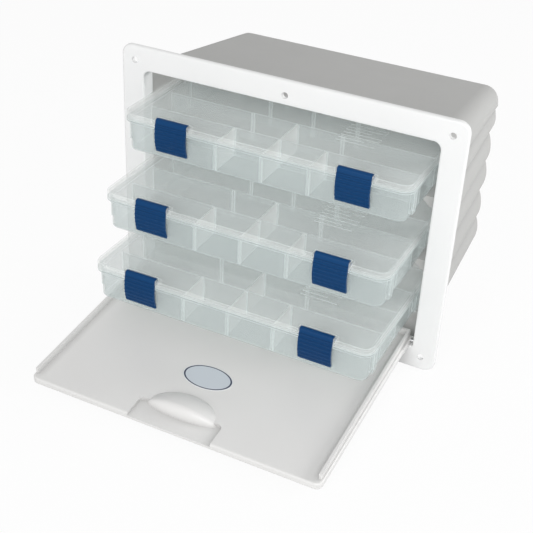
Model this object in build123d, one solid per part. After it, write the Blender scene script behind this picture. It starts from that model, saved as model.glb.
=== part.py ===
from build123d import *
import math
import os

os.makedirs("parts", exist_ok=True)

# Built-in tackle locker. X is across, Y goes into the wall, Z is up, in millimetres.
# The origin is the middle of the screw pattern, on the back of the front frame.

# front frame
frame_w = 429.0
frame_h = 326.0
bar_w = 29.5
flange_t = 5.0
frame_corner_r = 14.0
frame_edge_r = 3.0
opening_corner_r = 9.0
opening_low_r = 1.5
opening_edge_r = 2.0
throat_t = 2.5
throat_depth = 20.0
screw_inset = 18.0
screw_hole_d = 8.0

opening_w = frame_w - 2 * bar_w
opening_h = frame_h - 2 * bar_w
front_y = -flange_t
throat_end = front_y + throat_depth
screw_x = frame_w / 2 - screw_inset
screw_z = frame_h / 2 - screw_inset

# trays, each in its own frame: y from the front of the rim, z from the bottom
tray_w = 355.6
tray_d = 200.0
tray_h = 50.0
tray_pitch = 83.0
tray_seat_gap = 0.3
tray_held = (141.1, 96.1, 70.5)
tray_wall = 1.8
rim_over_side = 5.5
rim_over_front = 4.0
rim_t = 3.0
rim_r = 14.0
base_h = 40.0
base_r = 10.0
base_bottom_r = 4.0
lid_gap = 0.3
lid_t = 2.0
lid_edge_r = 1.6
panel_h = 1.2
panel_border = 9.0
panel_slope = 40.0
row_count = 4
row_wall_t = 1.6
row_wall_drop = 3.0
divider_x = (-58.0, 0.0, 58.0)
row_divider_count = (3, 1, 0, 0)
divider_t = 1.4
divider_gap = 0.25
divider_drop = 3.0
guide_t = 1.2
guide_drop = 4.0
foot_y = (15.0, 150.0)
foot_len = 9.0
foot_z = 9.0
foot_under_rim = 1.0
bite = 0.5
past = 1.0

tray_out = [tray_d - held for held in tray_held]
base_w = tray_w - 2 * rim_over_side
base_d = tray_d - 2 * rim_over_front
lid_z = base_h + lid_gap
lid_top = tray_h - panel_h
inner_w = base_w - 2 * tray_wall
inner_d = base_d - 2 * tray_wall
row_d = (inner_d - (row_count - 1) * row_wall_t) / row_count

# lid hinge at the back of each tray
hinge_from_end = 77.8
hinge_r = 3.0
hinge_back_gap = 0.4
hinge_lid_len = 24.0
hinge_base_len = 7.0
hinge_side_gap = 0.4
hinge_pin_r = 1.0
pin_play = 0.08
hinge_x = tray_w / 2 - hinge_from_end
hinge_y = tray_d + hinge_back_gap + hinge_r
hinge_z = base_h + lid_gap / 2
web_t = 2.2
web_gap = 0.4
web_root = 1.5

# latches on the front edge of each lid
latch_from_end = 65.3
latch_w = 40.0
latch_h = 40.5
latch_r = 3.8
latch_t = 2.4
latch_bow = 2.4
latch_side_gap = 0.5
latch_back_gap = 1.0
latch_stub_r = 1.5
latch_stub_len = 2.2
latch_rib_r = 1.2
latch_rib_sink = 0.5
latch_rib_count = 7
latch_rib_from = 0.1
latch_rib_to = 0.92
cheek_t = 2.5
catch_w = 34.0
catch_out = 0.5
catch_z = 13.5
catch_h = 2.0
hook_gap = 0.9
hook_h = 2.7
latch_x = tray_w / 2 - latch_from_end
latch_y = latch_r
latch_z = tray_h - latch_r

# housing behind the frame
house_wall = 2.5
house_depth = 245.0
house_hw = 197.6
house_hw_back = 184.0
house_top = 140.8
house_top_back = 109.1
house_back_r = 12.0
house_shoulder_r = 21.0
house_bottom_r = 14.0
house_least_r = 3.0
groove_deep = 6.4
groove_shallow = 4.0
step_front = 18.0
step_back = 34.0
throat_play = 0.15
rail_reach = 7.0
rail_tip_h = 3.0
rail_root_h = 13.0
rail_end_gap = 14.0
rail_front_gap = 1.0
groove_rail_drop = 8.0
groove_half = 40.5
groove_top = 34.5
groove_bulge = 0.4
floor_rise = 24.5
rail_bite = 1.2

# door, hinged along the bottom of the opening
door_t = 9.0
door_side_gap = 4.0
door_top_gap = 1.5
door_bottom_gap = 0.8
door_corner_r = 8.0
door_edge_r = 2.5
door_open_deg = 95.3
lip_h = 8.0
lip_t = 3.0
lip_inset = 2.5
door_pin_r = 2.0
door_pin_in = 12.0
pull_hw = 46.0
pull_back = 30.0
pull_h = 9.5
pull_edge = 20.0
pull_skin = 3.0
pull_front = 10.0
shelf_hw = 52.0
shelf_drop = 4.0
shelf_r = 6.0
label_a = 31.0
label_b = 18.5
label_t = 0.5
label_up = 171.0

door_r = door_t / 2
pivot_y = front_y + door_r
pivot_z = -opening_h / 2 + door_bottom_gap + door_r
door_w = opening_w - 2 * door_side_gap
door_len = opening_h / 2 - door_top_gap - pivot_z

# heights of the tray bottoms, top tray first; the lowest tray stands on the housing floor
floor_z = floor_rise - opening_h / 2
tray_z = [floor_z + tray_seat_gap + (2 - i) * tray_pitch for i in range(3)]


def across(w, h, r, y0, y1):
    """A rounded rectangle across X and Z, drawn out along Y."""
    return Pos(0, y0, 0) * Rot(-90, 0, 0) * extrude(RectangleRounded(w, h, r), y1 - y0)


def opening_bar(grow, y0, y1):
    """The opening's outline, grown on every side and drawn out along Y."""
    outline = Rectangle(opening_w + 2 * grow, opening_h + 2 * grow)
    rows = outline.vertices().group_by(Axis.Y)
    outline = fillet(rows[0], opening_corner_r + grow)
    rows = outline.vertices().group_by(Axis.Y)
    outline = fillet(rows[-1], opening_low_r + grow)
    return Pos(0, y0, 0) * Rot(-90, 0, 0) * extrude(outline, y1 - y0)


def plate(w, d, r, z0, z1):
    """A rounded rectangle on the tray's plan, drawn out along Z."""
    return Pos(0, tray_d / 2, z0) * extrude(RectangleRounded(w, d, r), z1 - z0)


def block(x0, x1, y0, y1, z0, z1):
    middle = Pos((x0 + x1) / 2, (y0 + y1) / 2, (z0 + z1) / 2)
    return middle * Box(x1 - x0, y1 - y0, z1 - z0)


def rod_x(r, x0, x1, y, z):
    return Pos((x0 + x1) / 2, y, z) * Rot(0, 90, 0) * Cylinder(r, x1 - x0)


def rod_y(r, x, y0, y1, z):
    return Pos(x, (y0 + y1) / 2, z) * Rot(90, 0, 0) * Cylinder(r, y1 - y0)


def front_edges(shape):
    return shape.faces().sort_by(Axis.Y)[0]


def make_frame():
    """The screw-down frame with the short throat that lines its opening."""
    flange = across(frame_w, frame_h, frame_corner_r, front_y, 0)
    flange = fillet(front_edges(flange).edges(), frame_edge_r)
    throat = opening_bar(throat_t, -1, throat_end)
    hole = opening_bar(0, front_y - 1, throat_end + 1)
    frame = flange + throat - hole
    frame = fillet(front_edges(frame).inner_wires()[0].edges(), opening_edge_r)
    for x in (-screw_x, 0, screw_x):
        for z in (-screw_z, screw_z):
            frame -= rod_y(screw_hole_d / 2, x, front_y - 1, 1, z)
    for side in (-1, 1):
        x0 = opening_w / 2 - 1
        x1 = opening_w / 2 + throat_t
        frame -= rod_x(door_pin_r, *sorted((side * x0, side * x1)), pivot_y, pivot_z)
    return frame


def groove_levels():
    """Heights and depths of the grooves in the housing's sides, lowest first."""
    levels = []
    for z in (tray_z[1], tray_z[0]):
        rail = z - groove_rail_drop
        levels.append((rail - groove_half, groove_shallow))
        levels.append((rail, groove_deep))
    levels.append((tray_z[0] - groove_rail_drop + groove_top, groove_shallow))
    return levels


def floor_level(y):
    """Underside of the housing: low behind the door, then up to the floor of the lowest tray."""
    low = -house_top
    high = floor_z - house_wall
    share = min(max((y - step_front) / (step_back - step_front), 0), 1)
    return low + share * (high - low)


def house_section(y, inset):
    """Outline of the housing at depth y, taken in by inset on every side."""
    share = y / house_depth
    hw = house_hw + share * (house_hw_back - house_hw) - inset
    top = house_top + share * (house_top_back - house_top) - inset
    bottom = floor_level(y) + inset
    corner = max(house_bottom_r - inset, house_least_r)
    shoulder = max(house_shoulder_r - inset, 2 * house_least_r)
    diag = 1 - math.sqrt(0.5)
    half = [((hw - corner, bottom), (hw - corner * diag, bottom + corner * diag), (hw, bottom + corner))]
    at = (hw, bottom + corner)
    for z, depth in groove_levels():
        to = (hw - depth, z)
        half.append((at, (hw + groove_bulge - depth / 12, (at[1] + z) / 2), to))
        at = to
    to = (hw - groove_bulge, top - shoulder)
    half.append((at, (hw, (at[1] + to[1]) / 2), to))
    half.append((to, (hw - shoulder * diag, top - shoulder * diag), (hw - shoulder, top)))
    edges = [Line((-half[0][0][0], y, bottom), (half[0][0][0], y, bottom))]
    edges += [ThreePointArc(*[(x, y, z) for x, z in arc]) for arc in half]
    edges.append(Line((half[-1][2][0], y, top), (-half[-1][2][0], y, top)))
    edges += [ThreePointArc(*[(-x, y, z) for x, z in reversed(arc)]) for arc in reversed(half)]
    return Wire(edges)


def house_loft(inset):
    """Solid of the housing's outline, with its back edges rounded."""
    start = inset
    back_r = house_back_r - inset * 0.5
    back = house_depth - inset
    sections = [house_section(y, inset) for y in (start, step_front, step_back, back - back_r)]
    for step in (1, 2, 3):
        angle = math.radians(30 * step)
        y = back - back_r + back_r * math.sin(angle)
        sections.append(house_section(y, inset + back_r * (1 - math.cos(angle))))
    return Solid.make_loft(sections, ruled=True)


def make_rail(side, z):
    """Ledge on the housing's side wall that carries one edge of a tray."""
    tip = base_w / 2 - rail_reach
    root = house_hw_back - groove_deep - house_wall + rail_bite
    top = z - tray_seat_gap
    profile = [(tip, top), (root, top), (root, top - rail_root_h), (tip, top - rail_tip_h)]
    outline = Wire.make_polygon([(side * x, throat_end + rail_front_gap, z) for x, z in profile])
    length = house_depth - rail_end_gap - throat_end - rail_front_gap
    return Solid.extrude(Face(outline), Vector(0, length, 0))


def make_rail_web(side, z):
    """Gusset between the ledge and the wall, where the wall leans away from it."""
    root = house_hw_back - groove_deep - house_wall
    top = z - tray_seat_gap
    y0 = throat_end + rail_front_gap
    y1 = house_depth - rail_end_gap
    front_root = house_hw - groove_deep - house_wall + rail_bite / 2
    profile = [(root, y0), (root, y1), (root + rail_bite, y1), (front_root, y0)]
    outline = Wire.make_polygon([(side * x, y, top - rail_root_h) for x, y in profile])
    return Solid.extrude(Face(outline), Vector(0, 0, rail_root_h))


def make_housing():
    """Tapered ribbed tub behind the frame, with moulded rails for the two upper trays."""
    hole = opening_bar(throat_t + throat_play, -1, house_wall + 1)
    housing = house_loft(0) - house_loft(house_wall) - hole
    for z in tray_z[:2]:
        for side in (-1, 1):
            housing += make_rail(side, z)
            housing += make_rail_web(side, z)
    return housing


def door_place(shape):
    """From the shut door with the hinge line at the origin to the open door."""
    return Pos(0, pivot_y, pivot_z) * Rot(door_open_deg, 0, 0) * shape


def door_box(hw, y0, y1, z0, z1):
    return block(-hw, hw, y0, y1, z0, z1)


def make_door_lip():
    """Upstand along the two sides and the hinge edge of the door's inside."""
    hw = door_w / 2 - lip_inset
    top = door_len - door_corner_r
    low = -door_r + 1
    outer = door_box(hw, door_r - 1, door_r + lip_h, low, top)
    inner = door_box(hw - lip_t, door_r - 2, door_r + lip_h + 1, low + lip_t, top + 1)
    return outer - inner


def pull_shell(skin):
    """Dome of the finger pull, or its hollow where skin is taken off: long behind, short in front."""
    middle = door_len - pull_edge - pull_front
    height = pull_h + door_t - skin
    halves = []
    for reach, z0, z1 in ((pull_back, 0, middle), (pull_front, middle, door_len)):
        dome = Pos(0, -door_r, middle) * scale(Sphere(1.0), by=(pull_hw - skin, height, reach - skin))
        halves.append(dome & door_box(pull_hw + 1, -door_r - 1, door_r + pull_h + 1, z0, z1))
    return halves[0] + halves[1]


def make_shelf():
    """Step in front of the finger pull, out to the door's upper edge."""
    start = door_len - pull_edge - pull_front
    step = door_box(shelf_hw, door_r - shelf_drop, door_r + 1, start, door_len + 1)
    corners = step.edges().filter_by(Axis.Y).group_by(Axis.Z)[0]
    return fillet(corners, shelf_r)


def make_door():
    """Door panel with its full-round hinge edge, upstand and finger pull."""
    panel = across(door_w, door_len, door_corner_r, -door_r, door_r)
    panel = Pos(0, 0, door_len / 2) * panel
    face = panel.faces().sort_by(Axis.Y)
    panel = fillet(face[0].edges() + face[-1].edges(), door_edge_r)
    bead = rod_x(door_r, -door_w / 2, door_w / 2, 0, 0)
    root = door_box(door_w / 2, -door_r, door_r, 0, 3 * door_corner_r)
    shell = pull_shell(0) & door_box(pull_hw + 1, 0, door_r + pull_h + 1, 0, door_len)
    door = panel - make_shelf() + root + bead + make_door_lip() + shell - pull_shell(pull_skin)
    for side in (-1, 1):
        x0 = door_w / 2 - door_pin_in
        x1 = door_w / 2 + 1
        door -= rod_x(door_pin_r + pin_play, *sorted((side * x0, side * x1)), 0, 0)
    return door_place(door)


def make_label():
    """Plain oval label on the inside of the door."""
    oval = Rot(-90, 0, 0) * extrude(Ellipse(label_a, label_b), label_t)
    return door_place(Pos(0, door_r, label_up) * oval)


def make_door_pin(side):
    x0 = door_w / 2 - door_pin_in + 0.5
    x1 = opening_w / 2 + throat_t
    return rod_x(door_pin_r, *sorted((side * x0, side * x1)), pivot_y, pivot_z)


def row_fronts():
    """Front of each row of compartments in a tray."""
    start = rim_over_front + tray_wall
    return [start + i * (row_d + row_wall_t) for i in range(row_count)]


def make_guides():
    """Pairs of small ribs that hold the ends of the dividers."""
    ribs = []
    half = divider_t / 2 + divider_gap
    low = tray_wall - bite
    top = base_h - guide_drop
    for y in row_fronts():
        for x in divider_x:
            for side in (-1, 1):
                x0, x1 = sorted((x + side * half, x + side * (half + guide_t)))
                ribs.append(block(x0, x1, y - bite, y + guide_t, low, top))
                ribs.append(block(x0, x1, y + row_d - guide_t, y + row_d + bite, low, top))
    return ribs


def make_knuckle(x0, x1, above):
    """One barrel of the lid hinge with the web that ties it to the rim."""
    z0 = hinge_z + web_gap if above else hinge_z - web_gap - web_t
    web = block(x0, x1, tray_d - web_root, hinge_y, z0, z0 + web_t)
    return rod_x(hinge_r, x0, x1, hinge_y, hinge_z) + web


def make_base():
    """Tray base with fixed row walls, side feet, latch catches and hinge barrels."""
    body = plate(base_w, base_d, base_r, 0, base_h)
    body = fillet(body.faces().sort_by(Axis.Z)[0].edges(), base_bottom_r)
    inside = plate(inner_w, inner_d, base_r - tray_wall, tray_wall, base_h + past)
    rim = plate(tray_w, tray_d, rim_r, base_h - rim_t, base_h)
    base = body + rim - inside
    hw = base_w / 2
    added = []
    for y in row_fronts()[1:]:
        y0 = y - row_wall_t
        reach = inner_w / 2 + bite
        added.append(block(-reach, reach, y0, y, tray_wall - bite, base_h - row_wall_drop))
    added += make_guides()
    for y in foot_y:
        for side in (-1, 1):
            x0, x1 = sorted((side * (hw - bite), side * (hw + rim_over_side - foot_under_rim)))
            added.append(block(x0, x1, y, y + foot_len, foot_z, base_h - rim_t + bite))
    for x in (-latch_x, latch_x):
        y0 = rim_over_front - catch_out
        y1 = rim_over_front + bite
        added.append(block(x - catch_w / 2, x + catch_w / 2, y0, y1, catch_z, catch_z + catch_h))
    for x in (-hinge_x, hinge_x):
        inner = hinge_lid_len / 2 + hinge_side_gap
        added.append(make_knuckle(x - inner - hinge_base_len, x - inner, False))
        added.append(make_knuckle(x + inner, x + inner + hinge_base_len, False))
    base = base + added
    notch = latch_w / 2 + latch_side_gap
    for x in (-latch_x, latch_x):
        low = base_h - rim_t - past
        base -= block(x - notch, x + notch, -past, rim_over_front, low, base_h + past)
    for x in (-hinge_x, hinge_x):
        reach = hinge_lid_len / 2 + hinge_side_gap + hinge_base_len + past
        base -= rod_x(hinge_pin_r, x - reach, x + reach, hinge_y, hinge_z)
    return base


def make_dividers():
    """Removable cross dividers, one solid each, in the middle places of their row."""
    length = row_d - 2 * divider_gap
    solids = []
    half = divider_t / 2
    for y, count in zip(row_fronts(), row_divider_count):
        spare = (len(divider_x) - count) // 2
        for x in divider_x[spare:spare + count]:
            y0 = y + divider_gap
            solids.append(block(x - half, x + half, y0, y0 + length, tray_wall, base_h - divider_drop))
    return solids


def make_lid():
    """Lid with its skirt, raised panel, latch pockets and hinge barrels."""
    skin = plate(tray_w, tray_d, rim_r, lid_z, lid_top)
    skin = fillet(skin.faces().sort_by(Axis.Z)[-1].edges(), lid_edge_r)
    inside = plate(tray_w - 2 * lid_t, tray_d - 2 * lid_t, rim_r - lid_t, lid_z - 1, lid_top - lid_t)
    panel_w = tray_w - 2 * panel_border
    panel_d = tray_d - 2 * panel_border - 2 * latch_r
    panel_y = tray_d / 2 + latch_r
    low = Pos(0, panel_y, lid_top) * Rectangle(panel_w, panel_d)
    high = Pos(0, panel_y, tray_h) * Rectangle(panel_w - 2 * panel_slope, panel_d - 2 * panel_slope)
    panel = Solid.make_loft([low.wire(), high.wire()], ruled=True)
    lid = skin - inside + panel
    notch = latch_w / 2 + latch_side_gap
    back = latch_y + latch_r + latch_back_gap
    for x in (-latch_x, latch_x):
        lid += block(x - notch - cheek_t, x + notch + cheek_t, 0.8, back + lid_t, lid_z, lid_top - 0.5)
        lid -= block(x - notch, x + notch, -1, back, lid_z - 1, tray_h + 1)
        reach = latch_w / 2 + latch_stub_len + 0.2
        lid -= rod_x(latch_stub_r + pin_play, x - reach, x + reach, latch_y, latch_z)
    for x in (-hinge_x, hinge_x):
        half = hinge_lid_len / 2
        lid += make_knuckle(x - half, x + half, True)
        lid -= rod_x(hinge_pin_r + pin_play, x - half - 1, x + half + 1, hinge_y, hinge_z)
    return lid


def make_hinge_pins():
    reach = hinge_lid_len / 2 + hinge_side_gap + hinge_base_len
    return [rod_x(hinge_pin_r, x - reach, x + reach, hinge_y, hinge_z) for x in (-hinge_x, hinge_x)]


def make_latch():
    """Ribbed latch, hung from its barrel at the origin."""
    low = latch_r - latch_h
    bottom_y = -latch_r + 1.2
    outer = ThreePointArc((-latch_r, 0), (-latch_r - latch_bow, low / 2), (bottom_y, low))
    inner = ThreePointArc(
        (bottom_y + latch_t, low + 1), (-latch_r - latch_bow + latch_t, low / 2), (-latch_r + latch_t, 0)
    )
    sides = [Line(outer @ 1, inner @ 0), Line(inner @ 1, outer @ 0)]
    outline = Wire([outer, sides[0], inner, sides[1]])
    face = Face(outline)
    panel = Solid.extrude(face, Vector(0, 0, latch_w))
    # the outline is drawn with Y and Z as its two axes, then stood up across X
    stand = Pos(-latch_w / 2, 0, 0) * Plane.YZ.location
    latch = rod_x(latch_r, -latch_w / 2, latch_w / 2, 0, 0) + stand * panel
    hook_y = rim_over_front - latch_y - hook_gap
    latch += block(-latch_w / 2, latch_w / 2, bottom_y + 0.6, hook_y, low, low + hook_h)
    ribs = []
    for i in range(latch_rib_count):
        share = i / (latch_rib_count - 1)
        at = outer @ (latch_rib_from + (latch_rib_to - latch_rib_from) * share)
        ribs.append(rod_x(latch_rib_r, -latch_w / 2, latch_w / 2, at.X + latch_rib_sink, at.Y))
    latch = latch + ribs
    for side in (-1, 1):
        x0 = latch_w / 2 - 0.5
        x1 = latch_w / 2 + latch_stub_len
        latch += rod_x(latch_stub_r, *sorted((side * x0, side * x1)), 0, 0)
    return latch


def save(name, shape):
    if isinstance(shape, list):
        shape = Compound(children=shape)
    export_step(shape, f"parts/{name}.step")


def save_tray(number, pieces):
    """One tray with its lid and latches, drawn out as far as tray_out says."""
    place = Pos(0, front_y - tray_out[number - 1], tray_z[number - 1])
    for name, shape in pieces.items():
        if isinstance(shape, list):
            save(f"tray_{number}_{name}", [place * solid for solid in shape])
        else:
            save(f"tray_{number}_{name}", place * shape)
    for side, x in (("left", -latch_x), ("right", latch_x)):
        save(f"tray_{number}_latch_{side}", place * Pos(x, latch_y, latch_z) * make_latch())


save("front_frame", make_frame())
save("housing_shell", make_housing())
save("door_panel", make_door())
save("door_label", make_label())
save("door_pin_left", make_door_pin(-1))
save("door_pin_right", make_door_pin(1))
tray_pieces = {
    "base": make_base(),
    "dividers": make_dividers(),
    "lid": make_lid(),
    "hinge_pins": make_hinge_pins(),
}
for tray_number in (1, 2, 3):
    save_tray(tray_number, tray_pieces)
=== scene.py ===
import math

import bmesh
import bpy
from mathutils import Matrix, Vector


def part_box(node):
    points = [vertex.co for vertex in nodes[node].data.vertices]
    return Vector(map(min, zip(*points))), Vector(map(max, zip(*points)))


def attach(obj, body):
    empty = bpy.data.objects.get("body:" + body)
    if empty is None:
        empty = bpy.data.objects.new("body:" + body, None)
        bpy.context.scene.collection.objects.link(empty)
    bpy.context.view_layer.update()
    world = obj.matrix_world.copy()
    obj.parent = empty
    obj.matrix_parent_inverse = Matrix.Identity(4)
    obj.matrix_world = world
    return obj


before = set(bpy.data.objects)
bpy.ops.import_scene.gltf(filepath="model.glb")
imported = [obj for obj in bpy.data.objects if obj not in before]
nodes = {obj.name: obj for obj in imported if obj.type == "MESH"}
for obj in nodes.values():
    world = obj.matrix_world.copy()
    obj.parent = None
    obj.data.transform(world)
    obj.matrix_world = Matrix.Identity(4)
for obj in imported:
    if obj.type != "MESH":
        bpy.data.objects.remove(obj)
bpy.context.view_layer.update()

MM = 0.001
TRAYS = (1, 2, 3)

# Camera: where the photograph was taken from, in degrees, metres and pixels.
CAMERA_AZIMUTH = 25.06
CAMERA_ELEVATION = 32.36
CAMERA_ROLL = 2.96
CAMERA_DISTANCE = 1.32628
CAMERA_TARGET = Vector((-11.49, -5.0, -84.31)) * MM
SENSOR_WIDTH = 36.0
FOCAL_PX = 1077.03
IMAGE_PX = 533

# Studio: a pale floor just below the part, nearly white to the camera, and even light all round.
FLOOR_Z = -0.1635
FLOOR_HALF = 4.0
FLOOR_COLOUR = (0.88, 0.88, 0.88, 1.0)
FLOOR_GLOW = 0.93
WORLD_LIGHT = 0.43
WHITE = (1.0, 1.0, 1.0, 1.0)

# Plastics: range of the noise, height of the grain, look of an edge with its painted highlight
# colour, and painted shade in grooves.
NOISE_RANGE = (0.3, 0.7)
GRAIN_HEIGHT = 0.1 * MM
EDGE_TURN = (0.99, 0.86)
EDGE_REACH = 0.9 * MM
EDGE_SAMPLES = 6
# Painted highlight: pale colour laid along the edges of the cloudy plastic.
EDGE_HIGHLIGHT_COLOUR = (0.88, 0.945, 0.95)
# Painted shade: occlusion in a groove mapped to a darker tone.
GROOVE_SHADE_RANGE = (0.45, 1.0)
GROOVE_SHADE_SAMPLES = 8

# Plain oval label on the door: half axes, colours, and where its line lies in squared radius.
LABEL_HALF_WIDTH = 31.0 * MM
LABEL_HALF_HEIGHT = 18.5 * MM
LABEL_FIELD = (0.60, 0.65, 0.70)
LABEL_LINE = (0.030, 0.040, 0.085)
LABEL_BORDER = (0.76, 0.78, 0.79)
LABEL_LINE_FROM = 0.80
LABEL_LINE_TO = 0.92
LABEL_BLUR = 0.01
DOOR_OPEN = math.radians(95.3)

# Raised lines moulded on each lid, from the middle and the front of the lid.
RIB_X = 64.0 * MM
RIB_Y = 62.0 * MM
RIB_STEP = 7.5 * MM
RIB_COUNT = 7
RIB_LONG = 46.0 * MM
RIB_SHORT = 31.0 * MM
RIB_SHORT_EVERY = 3
RIB_WIDTH = 1.6 * MM
RIB_HEIGHT = 0.35 * MM
RIB_TOP = RIB_WIDTH / 5
RIB_END = RIB_WIDTH / 3


class Shading:
    """A material under construction: its node tree with short ways to add nodes and links."""

    def __init__(self, name):
        self.material = bpy.data.materials.new(name)
        self.material.use_nodes = True
        self.tree = self.material.node_tree
        self.tree.nodes.clear()
        self.output = self.tree.nodes.new("ShaderNodeOutputMaterial")
        self.coords = self.add("ShaderNodeTexCoord").outputs["Object"]

    def add(self, kind, operation=None):
        """A new node, with its operation where it has one."""
        node = self.tree.nodes.new(kind)
        if operation:
            node.operation = operation
        return node

    def link(self, source, target):
        self.tree.links.new(source, target)

    def noise(self, scale, low=0.0, high=1.0, detail=3.0):
        """Noise over the piece, mapped to a range of values; scale is in patches per metre."""
        noise = self.add("ShaderNodeTexNoise")
        noise.inputs["Scale"].default_value = scale
        noise.inputs["Detail"].default_value = detail
        self.link(self.coords, noise.inputs["Vector"])
        return self.spread(noise.outputs["Fac"], *NOISE_RANGE, low, high)

    def spread(self, value, from_low, from_high, low, high):
        """A value moved from one range to another."""
        mapped = self.add("ShaderNodeMapRange")
        mapped.inputs["From Min"].default_value = from_low
        mapped.inputs["From Max"].default_value = from_high
        mapped.inputs["To Min"].default_value = low
        mapped.inputs["To Max"].default_value = high
        self.link(value, mapped.inputs["Value"])
        return mapped.outputs["Result"]

    def ramp(self, factor, stops):
        """Colours along a factor; stops are pairs of place and colour."""
        ramp = self.add("ShaderNodeValToRGB")
        elements = ramp.color_ramp.elements
        while len(elements) < len(stops):
            elements.new(0.5)
        for element, (place, colour) in zip(elements, stops):
            element.position = place
            element.color = (*colour, 1.0)
        self.link(factor, ramp.inputs["Fac"])
        return ramp.outputs["Color"]

    def edges(self):
        """1 along the piece's sharp edges, falling to 0 on its flats."""
        bevel = self.add("ShaderNodeBevel")
        bevel.samples = EDGE_SAMPLES
        bevel.inputs["Radius"].default_value = EDGE_REACH
        geometry = self.add("ShaderNodeNewGeometry")
        dot = self.add("ShaderNodeVectorMath", "DOT_PRODUCT")
        self.link(bevel.outputs["Normal"], dot.inputs[0])
        self.link(geometry.outputs["Normal"], dot.inputs[1])
        return self.spread(dot.outputs["Value"], *EDGE_TURN, 0.0, 1.0)

    def painted_groove_shade(self, reach, dark):
        """Painted shade: share of the tone that is left where the surface folds in on itself."""
        shade = self.add("ShaderNodeAmbientOcclusion")
        shade.samples = GROOVE_SHADE_SAMPLES
        shade.only_local = True
        shade.inputs["Distance"].default_value = reach
        return self.spread(shade.outputs["AO"], *GROOVE_SHADE_RANGE, dark, 1.0)

    def toned(self, colour, share):
        """A colour scaled by a share."""
        scaled = self.add("ShaderNodeVectorMath", "SCALE")
        self.link(colour, scaled.inputs[0])
        self.link(share, scaled.inputs["Scale"])
        return scaled.outputs["Vector"]

    def relief(self, scale, strength, height):
        """A fine uneven surface."""
        bump = self.add("ShaderNodeBump")
        bump.inputs["Strength"].default_value = strength
        bump.inputs["Distance"].default_value = height
        self.link(self.noise(scale, detail=4.0), bump.inputs["Height"])
        return bump.outputs["Normal"]

    def finish(self, colour, rough, normal, alpha=None, **settings):
        """The finished material; settings are sockets with one value all over the piece."""
        shader = self.add("ShaderNodeBsdfPrincipled")
        self.link(colour, shader.inputs["Base Color"])
        self.link(rough, shader.inputs["Roughness"])
        self.link(normal, shader.inputs["Normal"])
        if alpha is not None:
            self.link(alpha, shader.inputs["Alpha"])
        for socket, value in settings.items():
            shader.inputs[socket.replace("_", " ")].default_value = value
        self.link(shader.outputs["BSDF"], self.output.inputs["Surface"])
        return self.material


def moulded(name, first, second, rough, grain, bump, groove_shade=None, **settings):
    """Moulded plastic: two close tones, uneven gloss and a fine surface grain.

    An optional reach and share paint shade into grooves: the share of the tone left there.
    """
    shading = Shading(name)
    colour = shading.ramp(shading.noise(scale=6.0, detail=2.0), ((0.0, first), (1.0, second)))
    # Painted shade: the tone darkens in grooves and creases.
    if groove_shade is not None:
        colour = shading.toned(colour, shading.painted_groove_shade(*groove_shade))
    low, high = rough
    gloss = shading.noise(scale=45.0, low=low, high=high)
    normal = shading.relief(scale=grain, strength=bump, height=GRAIN_HEIGHT)
    return shading.finish(colour, gloss, normal, **settings)


def frosted_plastic(name, flat, flat_alpha, edge_alpha):
    """Cloudy clear plastic with a painted highlight of paler colour along its edges, where it is
    also more opaque.
    """
    shading = Shading(name)
    edge = shading.edges()
    # Painted highlight: the colour turns pale along the edges.
    colour = shading.ramp(edge, ((0.0, flat), (1.0, EDGE_HIGHLIGHT_COLOUR)))
    alpha = shading.spread(edge, 0.0, 1.0, flat_alpha, edge_alpha)
    gloss = shading.noise(scale=60.0, low=0.32, high=0.40)
    normal = shading.relief(scale=90.0, strength=0.02, height=GRAIN_HEIGHT)
    return shading.finish(colour, gloss, normal, alpha, Specular_IOR_Level=0.22)


def oval_radius(shading, middle):
    """Squared distance from the label's middle, 1 at its rim."""
    along = Vector((0.0, -math.sin(DOOR_OPEN), math.cos(DOOR_OPEN)))
    offset = shading.add("ShaderNodeVectorMath", "SUBTRACT")
    offset.inputs[1].default_value = middle
    shading.link(shading.coords, offset.inputs[0])
    total = shading.add("ShaderNodeMath", "ADD")
    axes = (Vector((1.0 / LABEL_HALF_WIDTH, 0.0, 0.0)), along / LABEL_HALF_HEIGHT)
    for i, axis in enumerate(axes):
        share = shading.add("ShaderNodeVectorMath", "DOT_PRODUCT")
        share.inputs[1].default_value = axis
        shading.link(offset.outputs["Vector"], share.inputs[0])
        square = shading.add("ShaderNodeMath", "MULTIPLY")
        for factor in (0, 1):
            shading.link(share.outputs["Value"], square.inputs[factor])
        shading.link(square.outputs["Value"], total.inputs[i])
    return total.outputs["Value"]


def label_film():
    """Plain oval label: pale field, thin dark line near its edge and a white border."""
    shading = Shading("plain_label")
    low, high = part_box("door_label")
    radius = oval_radius(shading, (Vector(low) + Vector(high)) / 2)
    colour = shading.ramp(radius, (
        (0.0, LABEL_FIELD),
        (LABEL_LINE_FROM - LABEL_BLUR, LABEL_FIELD),
        (LABEL_LINE_FROM + LABEL_BLUR, LABEL_LINE),
        (LABEL_LINE_TO - LABEL_BLUR, LABEL_LINE),
        (LABEL_LINE_TO + LABEL_BLUR, LABEL_BORDER),
        (1.0, LABEL_BORDER),
    ))
    gloss = shading.noise(scale=80.0, low=0.30, high=0.42)
    normal = shading.relief(scale=900.0, strength=0.06, height=0.05 * MM)
    return shading.finish(colour, gloss, normal)


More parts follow.
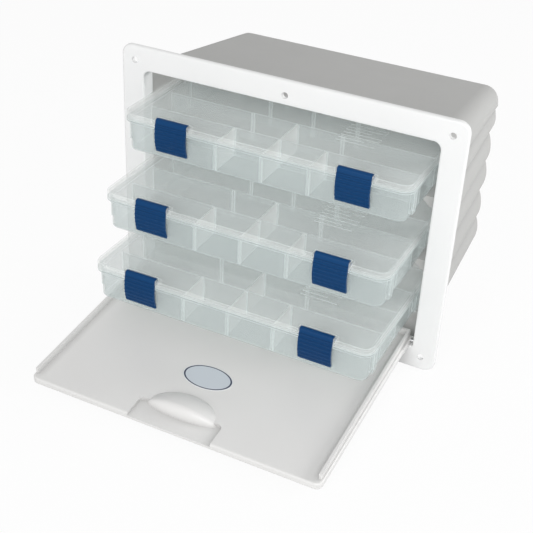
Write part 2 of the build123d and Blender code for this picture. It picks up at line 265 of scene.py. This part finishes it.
white_gloss = moulded(
    "white_gloss_plastic",
    first=(0.855, 0.86, 0.86),
    second=(0.875, 0.878, 0.875),
    rough=(0.18, 0.26),
    grain=260.0,
    bump=0.04,
    Coat_Weight=0.2,
    Coat_Roughness=0.12,
)
white_door = moulded(
    "white_door_plastic",
    first=(0.755, 0.75, 0.74),
    second=(0.77, 0.765, 0.755),
    rough=(0.30, 0.40),
    grain=300.0,
    bump=0.06,
    # Painted shade under the finger pull, along the lips and in other creases of the door.
    groove_shade=(10.0 * MM, 0.72),
)
grey_shell = moulded(
    "grey_moulded_shell",
    first=(0.475, 0.475, 0.465),
    second=(0.49, 0.49, 0.48),
    rough=(0.57, 0.62),
    grain=480.0,
    bump=0.18,
    # Painted shade in the grooves between the ribs of the shell's sides.
    groove_shade=(14.0 * MM, 0.45),
)
latch_blue = moulded(
    "blue_latch_plastic",
    first=(0.001, 0.043, 0.145),
    second=(0.001, 0.048, 0.158),
    rough=(0.30, 0.38),
    grain=500.0,
    bump=0.06,
    # Painted shade, nearly black, in the grooves between the latch's ribs.
    groove_shade=(3.5 * MM, 0.02),
    Specular_IOR_Level=0.16,
)
steel = moulded(
    "steel_pin",
    first=(0.55, 0.55, 0.56),
    second=(0.65, 0.65, 0.66),
    rough=(0.25, 0.40),
    grain=600.0,
    bump=0.10,
    Metallic=1.0,
)
frosted = frosted_plastic(
    "frosted_clear_plastic", flat=(0.565, 0.625, 0.62), flat_alpha=0.33, edge_alpha=0.80
)
frosted_lid = frosted_plastic(
    "frosted_clear_lid", flat=(0.86, 0.88, 0.865), flat_alpha=0.20, edge_alpha=0.66
)
frosted_plate = frosted_plastic(
    "frosted_clear_plate", flat=(0.77, 0.80, 0.79), flat_alpha=0.46, edge_alpha=0.90
)

NODE_MATERIALS = {
    "front_frame": white_gloss,
    "housing_shell": grey_shell,
    "door_panel": white_door,
    "door_label": label_film(),
    "door_pin_left": steel,
    "door_pin_right": steel,
}
for n in TRAYS:
    NODE_MATERIALS[f"tray_{n}_base"] = frosted
    NODE_MATERIALS[f"tray_{n}_hinge_pins"] = frosted
    NODE_MATERIALS[f"tray_{n}_dividers"] = frosted_plate
    NODE_MATERIALS[f"tray_{n}_lid"] = frosted_lid
    for side in ("left", "right"):
        NODE_MATERIALS[f"tray_{n}_latch_{side}"] = latch_blue

# The pale shell and the cloudy trays are thin enough for light to reach what lies behind them.
THIN = (grey_shell, frosted, frosted_lid, frosted_plate)
for name, material in NODE_MATERIALS.items():
    mesh = nodes[name].data
    mesh.materials.clear()
    mesh.materials.append(material)
    if material in THIN:
        nodes[name].visible_shadow = False


def add_object(name, data):
    """A new object in the scene."""
    added = bpy.data.objects.new(name, data)
    bpy.context.scene.collection.objects.link(added)
    return added


def ridge(mesh, start, end):
    """A low bar with sloping flanks and ends, standing on the line from start to end."""
    along = (end - start).normalized()
    across = Vector((-along.y, along.x, 0.0))
    up = Vector((0.0, 0.0, RIB_HEIGHT))
    low, high = [], []
    for point, inward, sides in ((start, along, (-1, 1)), (end, -along, (1, -1))):
        for side in sides:
            low.append(mesh.verts.new(point + across * (side * RIB_WIDTH / 2)))
            high.append(mesh.verts.new(point + inward * RIB_END + across * (side * RIB_TOP) + up))
    mesh.faces.new(high)
    mesh.faces.new(list(reversed(low)))
    for i, corner in enumerate(low):
        j = (i + 1) % len(low)
        mesh.faces.new((corner, low[j], high[j], high[i]))


def lid_lines(n):
    """Parallel lines raised on the right of a lid, where such lids carry moulded marks."""
    low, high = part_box(f"tray_{n}_lid")
    mesh = bmesh.new()
    for i in range(RIB_COUNT):
        length = RIB_SHORT if i % RIB_SHORT_EVERY == 1 else RIB_LONG
        start = Vector((RIB_X, low[1] + RIB_Y + i * RIB_STEP, high[2]))
        ridge(mesh, start, start + Vector((length, 0.0, 0.0)))
    bmesh.ops.recalc_face_normals(mesh, faces=mesh.faces)
    data = bpy.data.meshes.new(f"tray_{n}_lid_lines")
    mesh.to_mesh(data)
    mesh.free()
    data.materials.append(frosted_lid)
    lines = add_object(f"tray_{n}_lid_lines", data)
    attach(lines, f"lid_{n}")


def make_camera():
    """The camera at the photograph's place, turned by its small roll."""
    az, el, roll = (math.radians(a) for a in (CAMERA_AZIMUTH, CAMERA_ELEVATION, CAMERA_ROLL))
    back = Vector((math.sin(az) * math.cos(el), -math.cos(az) * math.cos(el), math.sin(el)))
    level = Vector((math.cos(az), math.sin(az), 0.0))
    rise = back.cross(level)
    right = math.cos(roll) * level + math.sin(roll) * rise
    up = math.cos(roll) * rise - math.sin(roll) * level
    data = bpy.data.cameras.new("camera")
    data.sensor_width = SENSOR_WIDTH
    data.lens = SENSOR_WIDTH * FOCAL_PX / IMAGE_PX
    camera = add_object("camera", data)
    turn = Matrix((right, up, back)).transposed().to_4x4()
    camera.matrix_world = Matrix.Translation(CAMERA_TARGET + back * CAMERA_DISTANCE) @ turn
    bpy.context.scene.camera = camera


def soft_light(name, place, aim, width, height, power):
    """A large lamp at a place, turned to what it lights."""
    data = bpy.data.lights.new(name, "AREA")
    data.shape = "RECTANGLE"
    data.size = width
    data.size_y = height
    data.energy = power
    lamp = add_object(name, data)
    direction = Vector(aim) - Vector(place)
    turn = direction.to_track_quat("-Z", "Y").to_matrix().to_4x4()
    lamp.matrix_world = Matrix.Translation(Vector(place)) @ turn


def make_floor():
    """Pale floor that keeps the shadow and reads as white to the camera."""
    mesh = bpy.data.meshes.new("floor")
    signs = ((-1, -1), (1, -1), (1, 1), (-1, 1))
    corners = [(x * FLOOR_HALF, y * FLOOR_HALF, FLOOR_Z) for x, y in signs]
    mesh.from_pydata(corners, [], [(0, 1, 2, 3)])
    floor = add_object("floor", mesh)
    shading = Shading("pale_floor")
    diffuse = shading.add("ShaderNodeBsdfDiffuse")
    diffuse.inputs["Color"].default_value = FLOOR_COLOUR
    glow = shading.add("ShaderNodeEmission")
    glow.inputs["Strength"].default_value = 1.0
    seen = shading.add("ShaderNodeLightPath")
    share = shading.add("ShaderNodeMath", "MULTIPLY")
    share.inputs[1].default_value = FLOOR_GLOW
    shading.link(seen.outputs["Is Camera Ray"], share.inputs[0])
    mix = shading.add("ShaderNodeMixShader")
    shading.link(share.outputs["Value"], mix.inputs["Fac"])
    shading.link(diffuse.outputs["BSDF"], mix.inputs[1])
    shading.link(glow.outputs["Emission"], mix.inputs[2])
    shading.link(mix.outputs["Shader"], shading.output.inputs["Surface"])
    mesh.materials.append(shading.material)


def make_world():
    """Even light all round, plain white where the camera, gloss or clear plastic sees it."""
    world = bpy.data.worlds.new("studio")
    world.use_nodes = True
    tree = world.node_tree
    tree.nodes.clear()
    mix = tree.nodes.new("ShaderNodeMixShader")
    for slot, strength in ((1, WORLD_LIGHT), (2, 1.0)):
        light = tree.nodes.new("ShaderNodeBackground")
        light.inputs["Color"].default_value = WHITE
        light.inputs["Strength"].default_value = strength
        tree.links.new(light.outputs["Background"], mix.inputs[slot])
    path = tree.nodes.new("ShaderNodeLightPath")
    seen = path.outputs["Is Camera Ray"]
    for ray in ("Is Transmission Ray", "Is Glossy Ray"):
        either = tree.nodes.new("ShaderNodeMath")
        either.operation = "MAXIMUM"
        tree.links.new(seen, either.inputs[0])
        tree.links.new(path.outputs[ray], either.inputs[1])
        seen = either.outputs["Value"]
    tree.links.new(seen, mix.inputs["Fac"])
    output = tree.nodes.new("ShaderNodeOutputWorld")
    tree.links.new(mix.outputs["Shader"], output.inputs["Surface"])
    bpy.context.scene.world = world


for n in TRAYS:
    lid_lines(n)
make_camera()
make_floor()
make_world()
soft_light(
    "front_light",
    place=(0.50, -2.0, 1.05),
    aim=(0.0, 0.0, -0.05),
    width=1.8,
    height=1.4,
    power=33.0,
)
soft_light(
    "side_light",
    place=(1.95, 0.9, 0.70),
    aim=(0.15, 0.12, 0.0),
    width=1.0,
    height=0.7,
    power=22.0,
)

bpy.context.scene.view_settings.view_transform = "Standard"
